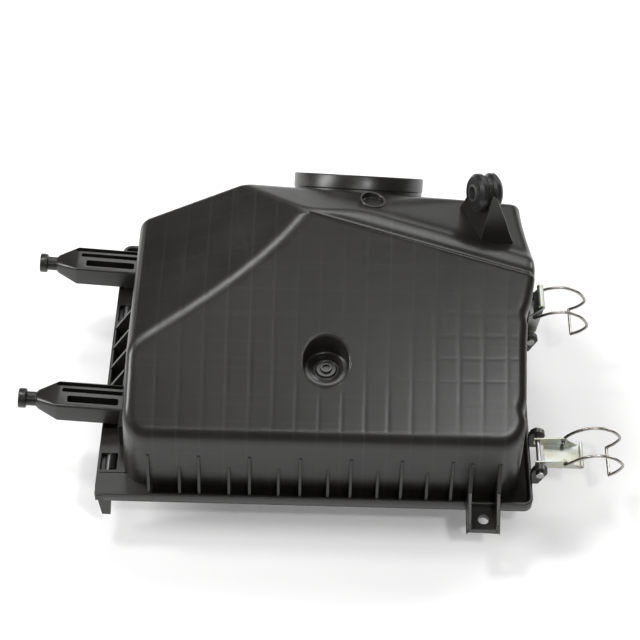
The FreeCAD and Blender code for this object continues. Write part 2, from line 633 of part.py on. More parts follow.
def drain_valve():
    """A rubber plug in the cover's floor: a flange inside, a waist in the hole and a pouting lip."""
    place = Placement(Vector(*DRAIN, 0.4), Rotation(Vector(1, 0, 0), Vector(0, 0, 1)))
    return turned("drain_valve", ((0.01, 1.6), (0.01, "drain_radius - 1.0"), (0.6, "drain_radius"),
                                  ("cover_floor - 0.4", "drain_radius"),
                                  ("cover_floor - 0.4", "drain_radius + 3.0"),
                                  ("cover_floor + 1.0", "drain_radius + 2.4"), ("cover_floor + 1.0", 3.6),
                                  (1.4, 1.6)), place)


def shared(name, one, other):
    """The part that two solids share."""
    solid = doc.addObject("Part::Common", name)
    solid.Base = one
    solid.Tool = other
    return solid


def hinge_pin(name, low, high):
    """A steel pin across one hinge slot, held in the case."""
    place = Placement(Vector(size("hinge_x"), low - 3.0, size("hinge_z")),
                      Rotation(Vector(1, 0, 0), Vector(0, 1, 0)))
    length = high - low + 6.0
    return turned(name, ((0.3, "0.2 - 0.2"), (length, 0), (length, "hinge_pin"), (0.3, "hinge_pin")), place)


# ---------------------------------------------------------------- the filter element
def filter_frame():
    outer = block("filter_rim_blank", ("filter_left", "filter_right"),
                  ("-filter_half_depth", "filter_half_depth"),
                  ("seat_floor", "filter_rim_top"))
    outer = rounded("filter_rim_round", outer, 5.0, upright)
    bead = block("filter_bead", ("filter_left + 6.9", "filter_right - 6.9"),
                 ("-filter_half_depth + 6.9", "filter_half_depth - 6.9"),
                 ("seat_floor", "filter_rim_top + 4"))
    opening = block("filter_opening", ("filter_left + filter_rim", "filter_right - filter_rim"),
                    ("-filter_half_depth + filter_rim", "filter_half_depth - filter_rim"),
                    ("seat_floor - 1", "filter_rim_top + 6"))
    return cut("filter_frame", joined("filter_rim_solid", [outer, bead]), opening)


def filter_media():
    """Pleated paper: one zigzag sheet whose folds run front to back."""
    left = size("filter_left") + size("filter_rim")
    right = size("filter_right") - size("filter_rim")
    low = size("seat_floor") + 0.5
    high = size("media_top")
    pleats = 40
    pitch = (right - left) / pleats
    sheet_gap = size("media_sheet") * 1.15
    lower, upper = [], []
    for n in range(pleats + 1):
        x = left + pitch * n
        upper.append(Vector(x, 0, low + sheet_gap * 2))
        lower.append(Vector(x, 0, low))
        if n < pleats:
            upper.append(Vector(x + pitch / 2, 0, high))
            lower.append(Vector(x + pitch / 2, 0, high - sheet_gap * 2))
    half = size("filter_half_depth") - size("filter_rim")
    points = upper + lower[::-1]
    points.append(points[0])
    paper = doc.addObject("Part::Feature", "filter_media")
    paper.Shape = Part.Face(Part.makePolygon(points)).extrude(Vector(0, 2 * half, 0))
    paper.Placement = Placement(Vector(0, -half, 0), Rotation())
    return paper


def filter_beads():
    """Hot-melt strips that keep the pleats apart, across their tops."""
    strips = []
    for n, y in enumerate((-52.0, 0.0, 52.0)):
        strips.append(block(f"bead_strip_{n}", ("filter_left + filter_rim", "filter_right - filter_rim"),
                            (str(y - 1.2), str(y + 1.2)), ("media_top", "media_top + 1.2")))
    group = doc.addObject("Part::Compound", "pleat_spacers")
    group.Links = strips
    return group


# ---------------------------------------------------------------- the latches
def latch_place(middle, turn):
    """Local latch axes: X from the pin to the lever's tip, Y along the pin, Z up, origin on the pin."""
    return Placement(Vector(size("latch_x"), middle, size("latch_z")), Rotation(Vector(0, 1, 0), turn))


def lever(name, middle, turn):
    """A stamped channel on the pin, open upward, its tip curled for a thumb."""
    half = size("latch_width") / 2
    sheet_thick = size("lever_sheet")
    web = doc.addObject("Part::Box", name + "_web")
    web.setExpression("Length", bound("lever_length - 4"))
    web.setExpression("Width", bound("latch_width"))
    web.setExpression("Height", bound("lever_sheet"))
    web.Placement.Base = Vector(4, -half, -3.6)
    pieces = [web]
    for side, y in (("near", -half), ("far", half - sheet_thick)):
        flange = plate(f"{name}_{side}", ((-2.6, -2.6), (2, -3.6), ("lever_length - 6", -3.6),
                                          ("lever_length - 1", -2.9), ("lever_length - 8", 1.5),
                                          ("bail_pivot", 4.2), (2.6, 3.0), (-2.6, 2.6)),
                       along(y + sheet_thick), "lever_sheet")
        pieces.append(flange)
    lip = rod(name + "_lip", "2.2", "latch_width", (size("lever_length") - 1.0, -half, -1.9), (0, 1, 0))
    lip_bore = rod(name + "_lip_bore", "2.2 - lever_sheet", "latch_width + 4",
                   (size("lever_length") - 1.0, -half - 2, -1.9), (0, 1, 0))
    lip_open = block(name + "_lip_open", ("lever_length - 5", "lever_length - 1"), ("-30", "30"),
                     ("-2.4", "3"))
    pieces.append(cut(name + "_curl", lip, joined(name + "_curl_tools", [lip_bore, lip_open])))
    pin_hole = rod(name + "_pin_hole", "latch_pin + wire_gap", "60", (0, -30, 0), (0, 1, 0))
    bail_hole = rod(name + "_bail_hole", "wire_radius + wire_gap", "60", (size("bail_pivot"), -30, 1.0),
                    (0, 1, 0))
    solid = cut(name, joined(name + "_solid", pieces), joined(name + "_holes", [pin_hole, bail_hole]))
    solid.Placement = latch_place(middle, turn)
    return solid


def bail(name, middle, turn, swing):
    """A wire loop hooked into the lever, arched, with its far end turned back as a hook."""
    radius = size("wire_radius")
    spread = size("bail_spread")
    pivot = Vector(size("bail_pivot"), 0, 1.0)
    arm = ((0, 0), (8, 7.8), (18.5, 12), (29.5, 9.8), (36.5, 3), (34.5, -3.5), (29.3, -8.8))

    def moved(n, y):
        return pivot + Vector(arm[n][0], y, arm[n][1])

    def arm_edges(y, back):
        edges = [Part.Arc(moved(n, y), moved(n + 1, y), moved(n + 2, y)).toShape() for n in (0, 2, 4)]
        return edges[::-1] if back else edges

    inside = size("latch_width") / 2 - 3.0
    near_end = Part.LineSegment(moved(0, -inside), moved(0, -spread)).toShape()
    far_end = Part.LineSegment(moved(0, spread), moved(0, inside)).toShape()
    cross = Part.LineSegment(moved(6, -spread), moved(6, spread)).toShape()
    edges = [near_end] + arm_edges(-spread, False) + [cross] + arm_edges(spread, True) + [far_end]
    pieces = []
    for edge in edges:
        start = edge.valueAt(edge.FirstParameter)
        direction = edge.tangentAt(edge.FirstParameter)
        ring = Part.Wire([Part.makeCircle(radius, start, direction)])
        pieces.append(Part.Wire([edge]).makePipeShell([ring], True, True))
    knots = {tuple(round(c, 4) for c in v.Point) for edge in edges for v in edge.Vertexes}
    ends = {tuple(round(c, 4) for c in moved(0, s * inside)) for s in (-1, 1)}
    pieces += [Part.makeSphere(radius, Vector(*k)) for k in sorted(knots - ends)]
    wire = pieces[0].multiFuse(pieces[1:]).removeSplitter()
    loop = doc.addObject("Part::Feature", name)
    loop.Shape = wire.Solids[0]
    about_pivot = Placement(pivot, Rotation()).multiply(
        Placement(Vector(), Rotation(Vector(0, 1, 0), swing))).multiply(Placement(-pivot, Rotation()))
    loop.Placement = latch_place(middle, turn).multiply(about_pivot)
    return loop


def latch_pin(name, middle):
    """A headed steel pin through the two ears."""
    place = Placement(Vector(size("latch_x"), middle - 18.6, size("latch_z")),
                      Rotation(Vector(1, 0, 0), Vector(0, 1, 0)))
    length = 37.2
    return turned(name, ((0, 0), (length, 0), (length, 2.4), (length - 2.2, 2.4), (length - 2.2, "latch_pin"),
                         (2.2, "latch_pin"), (2.2, 2.6), (0, 2.6)), place)


# ---------------------------------------------------------------- rubber bushing, sleeve and plug
def bushing():
    centre, axis, lean = bracket_frame()
    half = size("bushing_length") / 2
    groove = size("bracket_plate") / 2
    start = centre - axis * half
    place = Placement(start, Rotation(axis, lean, axis.cross(lean), "XYZ"))
    rim = size("bushing_radius")
    return turned("mount_bushing", ((0.01, "sleeve_radius"), (2 * half, "sleeve_radius"),
                                    (2 * half, rim - 2.0),
                                    (2 * half - 2.0, "bushing_radius"),
                                    (half + groove + 1.6, "bushing_radius"),
                                    (half + groove, rim - 1.6), (half + groove, "bushing_waist"),
                                    (half - groove, "bushing_waist"), (half - groove, rim - 1.6),
                                    (half - groove - 1.6, "bushing_radius"), (2.0, "bushing_radius"),
                                    (0.01, rim - 2.0)), place)


def sleeve():
    centre, axis, lean = bracket_frame()
    half = size("bushing_length") / 2 + 0.8
    place = Placement(centre - axis * half, Rotation(axis, lean, axis.cross(lean), "XYZ"))
    return turned("mount_sleeve", ((0.01, "sleeve_bore"), (2 * half, "sleeve_bore"),
                                   (2 * half, "sleeve_radius"),
                                   (0.01, "sleeve_radius")), place)


def port_plug():
    place = Placement(Vector(size("pocket_x"), size("pocket_y"), size("pocket_floor") - 4.0),
                      Rotation(Vector(1, 0, 0), Vector(0, 0, 1)))
    return turned("port_plug", ((0, 0), (5.2, 0), (5.2, 2.0), (6.4, 2.4), (6.4, 3.5), (5.0, 3.9), (5.0, 6.0),
                                (4.02, 6.5), (4.02, 4.48), (0, 4.48)), place)


# ---------------------------------------------------------------- assemble, check and write
case, tab, bracket_piece = upper_case()
NODES = {
    "upper_case": case,
    "bolt_tab": tab,
    "bushing_bracket": bracket_piece,
    "lower_cover": lower_cover(),
    "inlet_seal": inlet_seal(),
    "drain_valve": drain_valve(),
    "filter_frame": filter_frame(),
    "filter_media": filter_media(),
    "pleat_spacers": filter_beads(),
    "mount_bushing": bushing(),
    "mount_sleeve": sleeve(),
    "port_plug": port_plug(),
    "hinge_pin_front": hinge_pin("hinge_pin_front", *HINGE_SLOTS[0]),
    "hinge_pin_rear": hinge_pin("hinge_pin_rear", *HINGE_SLOTS[1]),
    "latch_pin_front": latch_pin("latch_pin_front", FRONT_LATCH_Y),
    "latch_pin_rear": latch_pin("latch_pin_rear", REAR_LATCH_Y),
    "latch_lever_front": lever("latch_lever_front", FRONT_LATCH_Y, 0.0),
    "latch_lever_rear": lever("latch_lever_rear", REAR_LATCH_Y, REAR_LEVER_TURN),
    "latch_bail_front": bail("latch_bail_front", FRONT_LATCH_Y, 0.0, 0.0),
    "latch_bail_rear": bail("latch_bail_rear", REAR_LATCH_Y, REAR_LEVER_TURN,
                            REAR_LOOP_DROP - REAR_LEVER_TURN),
}

doc.recompute()
problems = [o.Name for o in doc.Objects if "Invalid" in o.State or "Error" in o.State]
if problems:
    raise SystemExit("failed objects: " + ", ".join(problems))
os.makedirs("parts", exist_ok=True)
for node, piece in NODES.items():
    piece.Label = node
    shape = piece.Shape
    if shape.isNull() or not shape.isValid():
        raise SystemExit(f"{node} has no valid shape")
    shape.exportStep(f"parts/{node}.step")
    box = shape.BoundBox
    print(f"{node:20s} solids {len(shape.Solids)}  volume {shape.Volume / 1000:9.2f} cm3  "
          f"x {box.XMin:7.1f} {box.XMax:7.1f}  y {box.YMin:7.1f} {box.YMax:7.1f}  z {box.ZMin:6.1f} {box.ZMax:6.1f}")
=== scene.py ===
"""Looks of the air filter housing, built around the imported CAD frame.

Metres, +Z up, +Y towards the collar. Sizes of shapes are in millimetres until MM scales them.
"""

import json
import math

import bmesh
import bpy
import numpy as np
from mathutils import Matrix, Vector


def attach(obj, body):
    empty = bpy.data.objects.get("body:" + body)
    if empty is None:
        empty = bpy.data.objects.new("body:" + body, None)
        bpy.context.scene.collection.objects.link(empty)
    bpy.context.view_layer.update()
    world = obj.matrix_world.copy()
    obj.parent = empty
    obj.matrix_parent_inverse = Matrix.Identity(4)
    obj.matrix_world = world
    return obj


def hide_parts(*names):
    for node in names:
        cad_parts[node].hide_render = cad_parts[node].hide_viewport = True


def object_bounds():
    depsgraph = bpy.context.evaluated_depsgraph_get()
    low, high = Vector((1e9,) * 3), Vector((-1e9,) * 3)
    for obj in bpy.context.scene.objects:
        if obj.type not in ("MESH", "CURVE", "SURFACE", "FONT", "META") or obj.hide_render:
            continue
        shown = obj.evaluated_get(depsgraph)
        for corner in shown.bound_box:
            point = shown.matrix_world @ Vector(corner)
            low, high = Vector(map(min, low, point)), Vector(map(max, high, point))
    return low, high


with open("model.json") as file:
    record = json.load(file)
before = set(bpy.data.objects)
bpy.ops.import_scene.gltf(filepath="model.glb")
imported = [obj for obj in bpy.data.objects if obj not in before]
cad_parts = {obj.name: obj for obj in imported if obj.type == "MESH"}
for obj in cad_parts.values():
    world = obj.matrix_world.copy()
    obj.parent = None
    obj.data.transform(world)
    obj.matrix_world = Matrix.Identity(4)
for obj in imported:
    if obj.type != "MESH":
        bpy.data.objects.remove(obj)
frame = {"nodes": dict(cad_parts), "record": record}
cad_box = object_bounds()
scene = bpy.context.scene
MM = 0.001
CASE = "case"
SINK_PITCH = 14.6


# ---------------------------------------------------------------- node helpers
class Look:
    """A procedural material: small helpers that add and join shader nodes."""

    def __init__(self, name):
        self.material = bpy.data.materials.new(name)
        self.material.use_nodes = True
        self.tree = self.material.node_tree
        self.shader = self.tree.nodes["Principled BSDF"]

    def node(self, kind, sets=None, **inputs):
        made = self.tree.nodes.new(kind)
        for key, value in (sets or {}).items():
            setattr(made, key, value)
        for key, value in inputs.items():
            self.feed(made, key, value)
        return made

    def feed(self, made, key, value):
        numbered = key[0] == "_" and key[1:].isdigit()
        socket = made.inputs[int(key[1:]) if numbered else key.replace("_", " ")]
        if isinstance(value, bpy.types.NodeSocket):
            self.tree.links.new(value, socket)
        else:
            socket.default_value = value

    def math(self, operation, a, b=0.0, c=0.0):
        return self.node("ShaderNodeMath", {"operation": operation}, _0=a, _1=b, _2=c).outputs[0]

    def spread(self, value, low, high, out_low=0.0, out_high=1.0):
        """value mapped from low..high to out_low..out_high, clamped."""
        return self.node("ShaderNodeMapRange", {"clamp": True}, Value=value, From_Min=low, From_Max=high,
                         To_Min=out_low, To_Max=out_high).outputs[0]

    def place(self):
        return self.node("ShaderNodeTexCoord").outputs["Object"]

    def noise(self, scale, detail=3.0, rough=0.5, place=None, stretch=None):
        vector = place or self.place()
        if stretch:
            vector = self.node("ShaderNodeMapping", Vector=vector, Scale=stretch).outputs[0]
        return self.node("ShaderNodeTexNoise", Vector=vector, Scale=scale, Detail=detail,
                         Roughness=rough).outputs["Fac"]

    def mix(self, factor, a, b):
        made = self.node("ShaderNodeMix", {"data_type": "RGBA"}, _0=factor)
        for index, value in ((6, a), (7, b)):
            if isinstance(value, bpy.types.NodeSocket):
                self.tree.links.new(value, made.inputs[index])
            else:
                made.inputs[index].default_value = (*value, 1.0) if len(value) == 3 else value
        return made.outputs[2]

    def bump(self, height, distance, strength=1.0, under=None):
        made = self.node("ShaderNodeBump", Height=height, Distance=distance, Strength=strength)
        if under:
            self.tree.links.new(under, made.inputs["Normal"])
        return made.outputs[0]

    def edge_wear(self):
        """1 on sharp outer edges, 0 elsewhere."""
        made = self.node("ShaderNodeNewGeometry")
        return self.spread(made.outputs["Pointiness"], 0.52, 0.60)

    def finish(self, colour, roughness, normal=None, **constants):
        self.feed(self.shader, "Base Color", colour)
        self.feed(self.shader, "Roughness", roughness)
        if normal:
            self.feed(self.shader, "Normal", normal)
        for key, value in constants.items():
            self.feed(self.shader, key, value)
        return self.material


# ---------------------------------------------------------------- materials
def painted_sink_highlight(look, place):
    """Painted highlight: pale lines along the sink marks, where their grooves would catch the light; strong
    ones front to back, faint ones across.
    """
    along = look.node("ShaderNodeSeparateXYZ", Vector=place).outputs
    lines = []
    for value, strength in ((along[0], 1.0), (along[1], 0.5), (along[2], 0.4)):
        within = look.math("FRACT", look.math("DIVIDE", value, SINK_PITCH * MM))
        cell = look.math("ABSOLUTE", look.math("SUBTRACT", within, 0.5))
        lines.append(look.spread(cell, 0.43, 0.5, 0.0, strength))
    either = look.math("MAXIMUM", look.math("MAXIMUM", lines[0], lines[1]), lines[2])
    return look.math("MULTIPLY", either,
                     look.spread(look.noise(14.0, 2.0, place=place), 0.4, 0.62, 0.15, 1.0))


def moulded_plastic(name, tone, net=False):
    """Black moulded plastic: flow marks, fine grain, scuffs and dusty edges; with net, painted highlight
    lines along the sink marks.
    """
    look = Look(name)
    place = look.place()
    cloud = look.noise(22.0, 4.0, 0.55, place=place)
    grain = look.noise(1900.0, 2.0, 0.6, place=place)
    scratches = look.noise(120.0, 5.0, 0.75, place=place, stretch=(1.0, 9.0, 1.0))
    scuffed = look.spread(scratches, 0.63, 0.74)
    wear = look.math("MULTIPLY", look.edge_wear(),
                     look.spread(look.noise(60.0, 3.0, place=place), 0.35, 0.7))
    dark = tuple(c * 0.72 for c in tone)
    pale = tuple(min(1.0, c * 1.5 + 0.012) for c in tone)
    colour = look.mix(look.spread(cloud, 0.3, 0.72), dark, tone)
    colour = look.mix(look.math("MULTIPLY", scuffed, 0.25), colour, pale)
    colour = look.mix(look.math("MULTIPLY", wear, 0.5), colour, pale)
    # painted highlight: pale lines laid over the sink marks as if they caught the light
    if net:
        colour = look.mix(look.math("MULTIPLY", painted_sink_highlight(look, place), 0.55), colour, pale)
    polish = look.spread(cloud, 0.25, 0.75, 0.285, 0.35)
    roughness = look.math("ADD", polish, look.math("MULTIPLY", scuffed, 0.08))
    bump = look.bump(look.noise(30.0, 2.0, place=place), 0.0001, 0.25)
    bump = look.bump(grain, 0.00004, 0.6, bump)
    return look.finish(colour, roughness, bump, Specular_IOR_Level=0.5)


def rubber(name, tone, rough):
    look = Look(name)
    place = look.place()
    cloud = look.noise(70.0, 4.0, 0.6, place=place)
    fine = look.noise(900.0, 2.0, place=place)
    dust = look.spread(look.noise(240.0, 5.0, 0.7, place=place), 0.58, 0.75)
    colour = look.mix(look.spread(cloud, 0.3, 0.7), tuple(c * 0.7 for c in tone), tone)
    colour = look.mix(look.math("MULTIPLY", dust, 0.25), colour, tuple(c * 2.5 + 0.01 for c in tone))
    roughness = look.spread(cloud, 0.25, 0.75, rough - 0.06, rough + 0.08)
    return look.finish(colour, roughness, look.bump(fine, 0.00005, 0.5), Specular_IOR_Level=0.5)


def paper(name):
    look = Look(name)
    place = look.place()
    fibres = look.noise(1200.0, 5.0, 0.7, place=place, stretch=(1.0, 0.25, 1.0))
    blotch = look.noise(60.0, 4.0, 0.6, place=place)
    colour = look.mix(look.spread(fibres, 0.3, 0.7), (0.66, 0.55, 0.34), (0.82, 0.73, 0.52))
    colour = look.mix(look.math("MULTIPLY", look.spread(blotch, 0.4, 0.75), 0.4), colour,
                      (0.58, 0.47, 0.28))
    return look.finish(colour, 0.9, look.bump(fibres, 0.00012, 0.7))


def wax(name):
    look = Look(name)
    cloud = look.noise(300.0, 3.0)
    colour = look.mix(cloud, (0.72, 0.66, 0.46), (0.86, 0.82, 0.66))
    return look.finish(colour, look.spread(cloud, 0.2, 0.8, 0.3, 0.5), look.bump(cloud, 0.0002, 0.6),
                       Subsurface_Weight=0.2, Subsurface_Radius=(0.002, 0.0015, 0.001))


def metal(name, tone, other, rough, stretch, stain=0.4):
    """Plated or drawn steel: brushed along one way, with patches of another tint."""
    look = Look(name)
    place = look.place()
    brushed = look.noise(900.0, 4.0, 0.7, place=place, stretch=stretch)
    patch = look.noise(90.0, 4.0, 0.6, place=place)
    colour = look.mix(look.math("MULTIPLY", look.spread(patch, 0.38, 0.66), stain), tone, other)
    streaks = look.math("MULTIPLY", look.spread(brushed, 0.55, 0.8), 0.25)
    colour = look.mix(streaks, colour, tuple(c * 0.6 for c in tone))
    roughness = look.spread(patch, 0.3, 0.7, rough - 0.06, rough + 0.1)
    return look.finish(colour, roughness, look.bump(brushed, 0.00004, 0.5), Metallic=1.0)


MATERIALS = {
    "case_plastic": moulded_plastic("moulded_case", (0.0175, 0.0162, 0.0150)),
    "case_skin": moulded_plastic("moulded_skin", (0.0165, 0.0152, 0.0140), True),
    "cover_plastic": moulded_plastic("moulded_cover", (0.018, 0.0175, 0.017)),
    "rubber": rubber("bushing_rubber", (0.018, 0.018, 0.018), 0.32),
    "seal_rubber": rubber("seal_rubber", (0.03, 0.03, 0.032), 0.6),
    "paper": paper("filter_paper"),
    "hot_melt": wax("hot_melt"),
    "bright_steel": metal("bright_wire", (0.42, 0.40, 0.37), (0.28, 0.25, 0.20), 0.24, (1.0, 1.0, 1.0),
                          0.5),
    "zinc_steel": metal("zinc_plate", (0.40, 0.43, 0.42), (0.52, 0.50, 0.38), 0.42, (1.0, 0.1, 1.0), 0.9),
    "pin_steel": metal("pin_steel", (0.36, 0.36, 0.36), (0.28, 0.26, 0.24), 0.34, (1.0, 0.15, 1.0), 0.4),
}

for entry in frame["record"]["subparts"]:
    piece = frame["nodes"][entry["node"]]
    piece.data.materials.clear()
    piece.data.materials.append(MATERIALS[entry["material_slot"]])


# ---------------------------------------------------------------- making solids
def finished(name, mesh, slot, body, bevel=0.0, replaces=(), look=None):
    """Links a mesh as a piece that rides on a body, its edges softened by bevel (mm)."""
    piece = bpy.data.objects.new(name, mesh)
    scene.collection.objects.link(piece)
    mesh.materials.clear()
    mesh.materials.append(MATERIALS[look or slot])
    mesh.polygons.foreach_set("use_smooth", [True] * len(mesh.polygons))
    if bevel:
        soften(piece, bevel)
    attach(piece, body)
    if replaces:
        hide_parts(*replaces)
    return piece


def soften(piece, width):
    """Rounds the sharp edges of a piece by width (mm) and evens its shading."""
    bevel = piece.modifiers.new("soft_edges", "BEVEL")
    bevel.width = width * MM
    bevel.segments = 2
    bevel.limit_method = "ANGLE"
    bevel.angle_limit = math.radians(28)
    bevel.harden_normals = True
    bevel.use_clamp_overlap = True


class Solids:
    """Closed solids gathered into one mesh. Sizes go in as millimetres."""

    def __init__(self):
        self.bm = bmesh.new()

    def loft(self, rings, place=None):
        """Quads between rings of equal length, both ends closed."""
        rows = [[self.bm.verts.new(Vector(p) * MM) for p in ring] for ring in rings]
        for below, above in zip(rows, rows[1:]):
            for n in range(len(below)):
                m = (n + 1) % len(below)
                self.bm.faces.new((below[n], below[m], above[m], above[n]))
        self.bm.faces.new(rows[0][::-1])
        self.bm.faces.new(rows[-1])
        if place:
            bmesh.ops.transform(self.bm, matrix=place, verts=[v for row in rows for v in row])
        return self

    def ring(self, rings):
        """Quads round a closed section: the last ring joins the first."""
        rows = [[self.bm.verts.new(Vector(p) * MM) for p in ring] for ring in rings]
        for below, above in zip(rows, rows[1:] + rows[:1]):
            for n in range(len(below)):
                m = (n + 1) % len(below)
                self.bm.faces.new((below[n], below[m], above[m], above[n]))
        return self

    def box(self, x, y, z):
        low, high = ([(x[0], y[0], h), (x[1], y[0], h), (x[1], y[1], h), (x[0], y[1], h)] for h in z)
        return self.loft([low, high])

    def across(self, outline, x, thickness):
        """A plate whose outline lies in y and z, from x along +X."""
        return self.loft([[(at, y, z) for y, z in outline] for at in (x, x + thickness)])

    def along(self, outline, y, thickness):
        """A plate whose outline lies in x and z, from y along +Y."""
        return self.loft([[(x, at, z) for x, z in outline] for at in (y, y + thickness)])

    def turned(self, profile, start, axis, steps=64, side=None):
        """Rings of (distance along the axis, radius), both ends closed."""
        axis = Vector(axis).normalized()
        side = Vector(side).normalized() if side else axis.orthogonal().normalized()
        other = axis.cross(side)
        rings = []
        for distance, radius in profile:
            centre = Vector(start) + axis * distance
            rings.append([centre + (side * math.cos(a) + other * math.sin(a)) * radius
                          for a in (2 * math.pi * n / steps for n in range(steps))])
        return rings

    def lathe(self, profile, start, axis, steps=64):
        return self.loft(self.turned(profile, start, axis, steps))

    def tube(self, profile, start, axis, steps=64):
        """A ring-shaped solid: the closed profile of (distance, radius) goes round the axis."""
        return self.ring(self.turned(profile, start, axis, steps))

    def mesh(self, name):
        bmesh.ops.recalc_face_normals(self.bm, faces=self.bm.faces)
        data = bpy.data.meshes.new(name)
        self.bm.to_mesh(data)
        self.bm.free()
        return data

    def cutter(self, name):
        """An object for boolean cuts."""
        tool = bpy.data.objects.new(name, self.mesh(name))
        scene.collection.objects.link(tool)
        return tool


def carve(piece, tools):
    """Cuts the tools out of a piece for good and removes them."""
    for tool in tools:
        cut = piece.modifiers.new("cut", "BOOLEAN")
        cut.operation = "DIFFERENCE"
        cut.solver = "EXACT"
        cut.object = tool
    baked(piece)
    for tool in tools:
        bpy.data.objects.remove(tool)


def baked(piece):
    """Applies the modifiers that a piece has so far."""
    graph = bpy.context.evaluated_depsgraph_get()
    old = piece.data
    piece.data = bpy.data.meshes.new_from_object(piece.evaluated_get(graph))
    piece.modifiers.clear()
    bpy.data.meshes.remove(old)


def rounded_rectangle(x0, x1, y0, y1, radius, z, steps=8):
    corners = ((x1 - radius, y0 + radius, -90), (x1 - radius, y1 - radius, 0),
               (x0 + radius, y1 - radius, 90), (x0 + radius, y0 + radius, 180))
    points = []
    for cx, cy, first in corners:
        for n in range(steps + 1):
            a = math.radians(first + 90.0 * n / steps)
            points.append((cx + radius * math.cos(a), cy + radius * math.sin(a), z))
    return points


# ---------------------------------------------------------------- the case's shape, millimetres
BASE = 34.0
RIM_TOP = 42.0
RIM_LEFT, RIM_RIGHT, RIM_HALF = -141.0, 139.0, 107.0
RIM_WALL = 2.5
WALL = 2.5
SLOPE = math.radians(30.0)
FRONT_EDGE = (-96.0, 92.0)
APEX = Vector((-12.0, 30.0, FRONT_EDGE[1] + math.tan(SLOPE) * (30.0 - FRONT_EDGE[0])))
RIDGE_END = Vector((126.5, -0.6, APEX.z - 0.176 * 138.5 + 0.19 * 30.6))
REAR_TOP = Vector((0.176, 0.19, 1.0)).normalized()
POCKET = (4.6, -53.5)
POCKET_RADIUS, POCKET_FLOOR, POCKET_ROUND = 14.2, 107.5, 1.1
COLLAR_AXIS = Vector((0.03, 0.711, 0.702)).normalized()
COLLAR_RIM = Vector((24.0, 106.7, 118.9))
COLLAR_OUT, COLLAR_IN = 43.7, 40.7
SINK_DEPTH = 0.2
SKIN_STEP, QUICK_STEP = 1.2, 3.0
EYE = np.array((0.0, 5.0, 72.0))


def field(point, normal):
    """Signed distance outside a plane, as a function of points."""
    n = np.array(Vector(normal).normalized())
    base = float(n @ np.array(Vector(point)))
    return lambda p: p @ n - base


def tilted(degrees, x, y):
    """Outward normal of a wall that leans inward by its draft angle."""
    a = math.radians(degrees)
    return (x * math.cos(a), y * math.cos(a), math.sin(a))


LEFT = field((-124, 0, BASE), tilted(2.2, -1, 0))
RIGHT = field((130.8, 0, BASE), tilted(0.3, 1, 0))
FRONT = field((0, -99, BASE), tilted(2.0, 0, -1))
REAR = field((0, 97, BASE), tilted(1.5, 0, 1))
MAIN = field((0, *FRONT_EDGE), (0, -math.sin(SLOPE), math.cos(SLOPE)))
LEFT_SLOPE = field(APEX, (-0.425, 0, 1))
REAR_SLOPE = field(APEX, REAR_TOP)
BACK_SLOPE = field(APEX, (0.051, 0.52, 1))
COLLAR_FACE = field((24, 69, 141.7), (0.048, 0.766, 0.643))
CORNER_FACE = field((-51, 69, 147), (-0.371, 0.766, 0.643))
SHOULDER = (137.6, 8.0, 147.0)
CREASE_ROUND, BEHIND_ROUND, BACK_ROUND, RIDGE_ROUND = 3.2, 5.0, 1.8, 0.3
EDGE_ROUND, CORNER_ROUND = 6.0, 16.0
SHOULDER_FRONT = field(SHOULDER, (0.983, -0.140, -0.102))
SHOULDER_REAR = field(SHOULDER, (0.988, 0.120, -0.102))


def smooth(low, high, value):
    t = np.clip((value - low) / (high - low), 0.0, 1.0)
    return t * t * (3.0 - 2.0 * t)


def round_max(radius, *fields):
    """The part inside every field, with edges of that radius."""
    most = np.maximum.reduce(fields)
    total = sum(np.maximum(f + radius, 0.0) ** 2 for f in fields)
    return np.where(most > -radius, np.sqrt(total) - radius, most)


def right_wall(p):
    """The right wall: a shoulder swells out where the ridge ends, and two flutes run down from the top."""
    wall, shoulder = RIGHT(p), round_max(5.0, SHOULDER_FRONT(p), SHOULDER_REAR(p))
    gap = np.clip(0.5 + 0.5 * (wall - shoulder) / 3.0, 0.0, 1.0)
    swollen = wall * (1 - gap) + shoulder * gap - 3.0 * gap * (1 - gap)
    flutes = sum(np.exp(-((p[:, 1] - y) / 4.2) ** 2) for y in (-23.0, -76.0))
    return swollen + 1.7 * flutes * smooth(70.0, 95.0, p[:, 2])


def along_ridge(p):
    """Distances along the ridge from the apex, and across it towards the rear."""
    ahead = (RIDGE_END - APEX).normalized()
    back = Vector((0, 0, 1)).cross(ahead).normalized()
    rel = p - np.array(APEX)
    return rel @ np.array(ahead), rel @ np.array(back)


def left_slope(p):
    """The left slope, dished along its edge with the main face so that the edge bows."""
    rel = p[:, :2] - np.array(APEX)[:2]
    run = np.clip(rel @ np.array((-0.805, -0.593)) / 121.0, 0.0, 1.0)
    across = rel @ np.array((-0.593, 0.805))
    return LEFT_SLOPE(p) + 3.5 * np.sin(math.pi * run ** 0.75) * (1.0 - smooth(0.0, 42.0, across))


def ridge_bead(p):
    """Height of the rear face's bead: a hollow beside the crease, then a rounded crest."""
    s, u = along_ridge(p)
    swell = smooth(-4.0, 10.0, s)
    crest = 2.5 * np.exp(-((u - 11.0) / 7.4) ** 2)
    hollow = 0.8 * np.exp(-((u - 1.2) / 2.0) ** 2)
    return (crest - hollow) * swell


